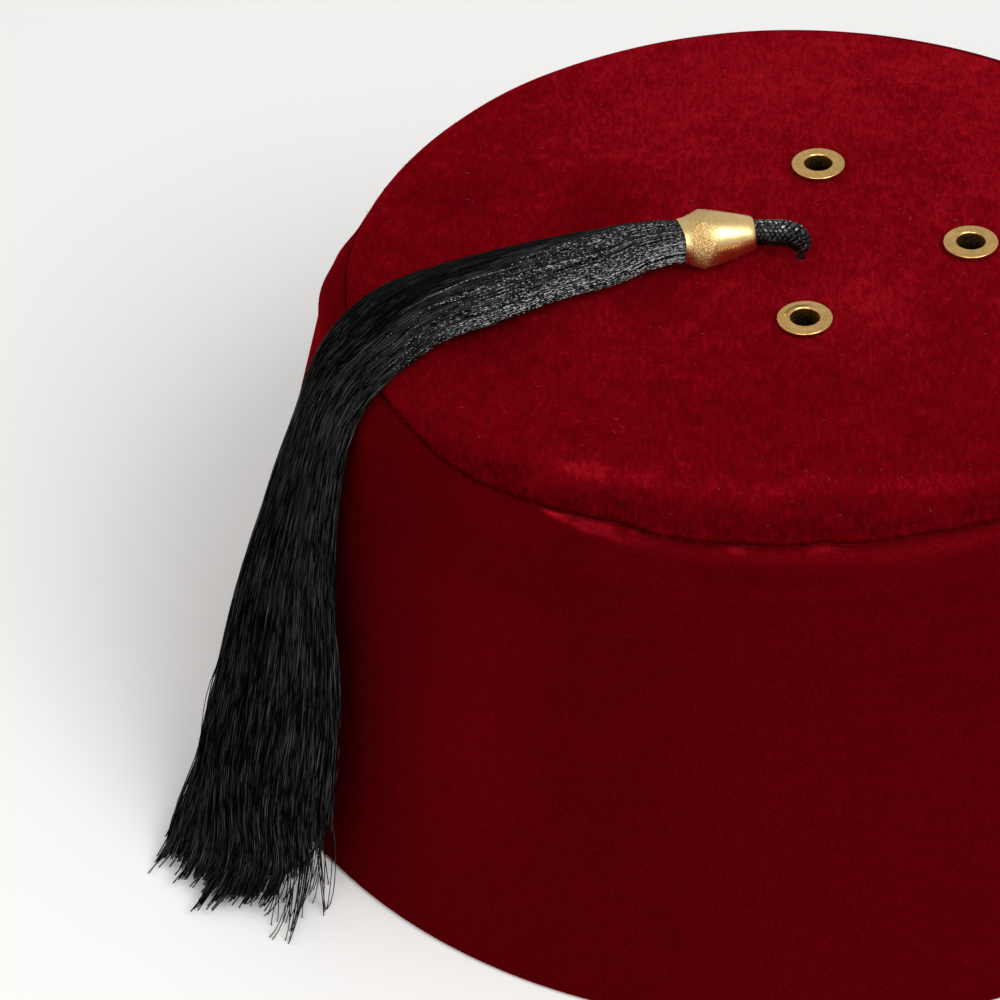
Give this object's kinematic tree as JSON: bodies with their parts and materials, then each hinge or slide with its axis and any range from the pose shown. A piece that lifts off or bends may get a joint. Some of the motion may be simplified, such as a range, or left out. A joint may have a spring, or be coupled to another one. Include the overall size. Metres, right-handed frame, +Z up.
{
  "type": "fez hat",
  "caption": "Low, flared fez in dark red velvet with a flat tip, brass vent eyelets and a black tassel on a short braided cord with a metal cap.",
  "frame": {"origin": "bottom centre of the whole piece, tassel included, on the plane that the rim rests on; the hat's own axis stands 5.6 mm towards +X", "axes": "+Z up through the flat tip, +X along the longest side, away from the tassel, +Y to the hat's left as seen with the tassel behind"},
  "size_m": [0.2022, 0.191, 0.0889],
  "materials": {
    "crimson_velvet": "cut pile, matt, with a soft sheen at grazing angles",
    "antique_brass": "satin, dulled",
    "satin_gold": "satin, scuffed",
    "black_rayon": "fine glossy threads"
  },
  "bodies": {
    "root": {"side_band": "crimson_velvet", "tip": "crimson_velvet", "eyelet_1": "antique_brass", "eyelet_2": "antique_brass", "eyelet_3": "antique_brass", "eyelet_4": "antique_brass", "tassel_cord": "black_rayon", "tassel_cap": "satin_gold", "tassel_skirt": "black_rayon"}
  },
  "joints": []
}
